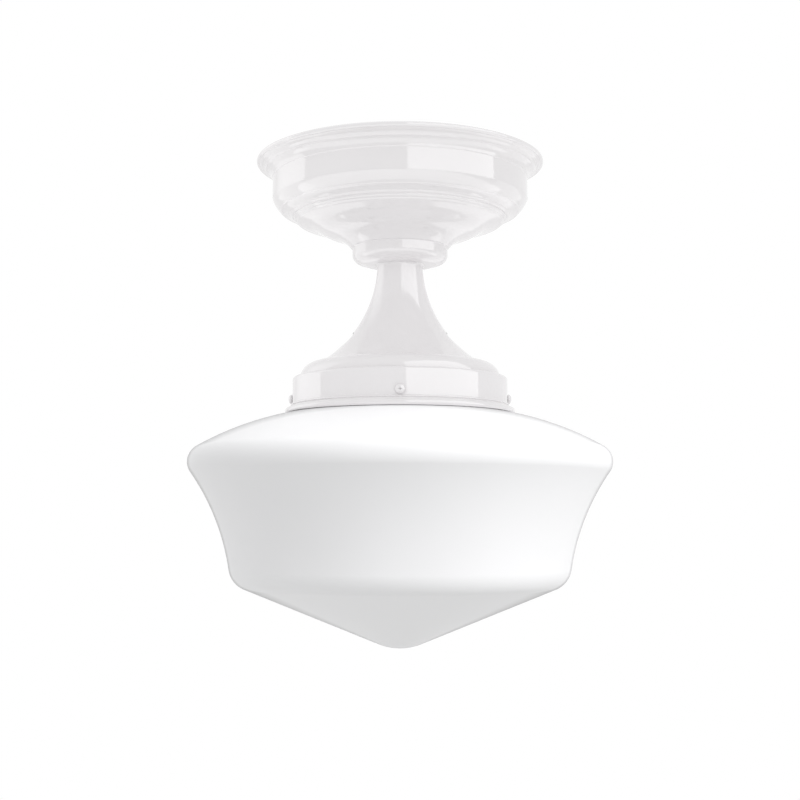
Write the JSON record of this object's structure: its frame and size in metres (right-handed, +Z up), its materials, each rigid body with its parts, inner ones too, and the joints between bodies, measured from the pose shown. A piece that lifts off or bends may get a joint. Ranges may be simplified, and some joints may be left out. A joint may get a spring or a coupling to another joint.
{
  "type": "semi-flush ceiling light",
  "caption": "Semi-flush ceiling light: stepped round canopy on a screw collar, trumpet neck and a screw-held opal glass shade with a broad shoulder and a conical foot.",
  "frame": {"origin": "middle of the mounting bar's top face, in the plane of the ceiling", "axes": "+Z up into the ceiling, so the light hangs below z = 0; -Y towards the viewer of the picture; +X to the viewer's right, along the mounting bar"},
  "size_m": [0.3048, 0.3048, 0.3549],
  "materials": {
    "white_enamel": "gloss white enamel on spun steel",
    "opal_glass": "polished opal white glass, not see-through",
    "zinc_plated_steel": "bright zinc plate",
    "green_ground_steel": "green dyed plate",
    "glazed_porcelain": "glazed white porcelain",
    "brass_contact": "drawn brass",
    "solder": "solder",
    "black_insulator": "black glass insulator",
    "bulb_base_metal": "plain aluminium",
    "bulb_plastic": "moulded white plastic",
    "bulb_frosted": "frosted white diffuser"
  },
  "bodies": {
    "root": {"crossbar": "zinc_plated_steel", "stem_pipe": "zinc_plated_steel", "crossbar_lock_washer": "zinc_plated_steel", "crossbar_locknut": "zinc_plated_steel", "ground_screw": "green_ground_steel", "collar_bushing": "zinc_plated_steel", "bushing_locknut": "zinc_plated_steel", "neck": "white_enamel", "neck_washer": "zinc_plated_steel", "neck_locknut": "zinc_plated_steel", "shade_holder": "white_enamel", "holder_washer": "zinc_plated_steel", "holder_locknut": "zinc_plated_steel", "socket_cap": "zinc_plated_steel", "socket_body": "glazed_porcelain", "socket_screw_shell": "brass_contact", "socket_centre_contact": "brass_contact", "socket_terminal_screws": "brass_contact", "socket_cap_screws": "zinc_plated_steel"},
    "canopy": {"canopy": "white_enamel"},
    "collar": {"canopy_collar": "white_enamel"},
    "shade": {"shade": "opal_glass"},
    "bulb_slide": {"bulb_tip": "solder"},
    "bulb": {"bulb_insulator": "black_insulator", "bulb_screw_base": "bulb_base_metal", "bulb_housing": "bulb_plastic", "bulb_led_plate": "bulb_base_metal", "bulb_diffuser": "bulb_frosted"},
    "glass_screw_1": {"glass_screw_1": "white_enamel"},
    "glass_screw_2": {"glass_screw_2": "white_enamel"},
    "glass_screw_3": {"glass_screw_3": "white_enamel"},
    "glass_screw_4": {"glass_screw_4": "white_enamel"}
  },
  "joints": [
    {"name": "canopy_drop", "type": "slide", "parent": "root", "child": "canopy", "axis": [0, 0, -1], "range_m": [0, 0.01]},
    {"name": "collar_turn", "type": "hinge", "parent": "canopy", "child": "collar", "pos_m": [0, 0, -0.071], "axis": [0, 0, -1], "range_deg": [0, 1800]},
    {"name": "shade_drop", "type": "slide", "parent": "root", "child": "shade", "axis": [0, 0, -1], "range_m": [0, 0.0055]},
    {"name": "bulb_drop", "type": "slide", "parent": "root", "child": "bulb_slide", "axis": [0, 0, -1], "range_m": [0, 0.02177]},
    {"name": "bulb_turn", "type": "hinge", "parent": "bulb_slide", "child": "bulb", "pos_m": [0, 0, -0.2], "axis": [0, 0, -1], "range_deg": [0, 2160]},
    {"name": "glass_screw_1_back_out", "type": "slide", "parent": "root", "child": "glass_screw_1", "axis": [0, -1, 0], "range_m": [0, 0.0055]},
    {"name": "glass_screw_2_back_out", "type": "slide", "parent": "root", "child": "glass_screw_2", "axis": [1, 0, 0], "range_m": [0, 0.0055]},
    {"name": "glass_screw_3_back_out", "type": "slide", "parent": "root", "child": "glass_screw_3", "axis": [0, 1, 0], "range_m": [0, 0.0055]},
    {"name": "glass_screw_4_back_out", "type": "slide", "parent": "root", "child": "glass_screw_4", "axis": [-1, 0, 0], "range_m": [0, 0.0055]}
  ],
  "couplings": [
    {"joint": "collar_turn", "follows": "canopy_drop", "rad_per_m": 3141.6},
    {"joint": "bulb_turn", "follows": "bulb_drop", "rad_per_m": 1731.6},
    {"joint": "glass_screw_1_back_out", "follows": "shade_drop", "ratio": 1},
    {"joint": "glass_screw_2_back_out", "follows": "shade_drop", "ratio": 1},
    {"joint": "glass_screw_3_back_out", "follows": "shade_drop", "ratio": 1},
    {"joint": "glass_screw_4_back_out", "follows": "shade_drop", "ratio": 1}
  ]
}
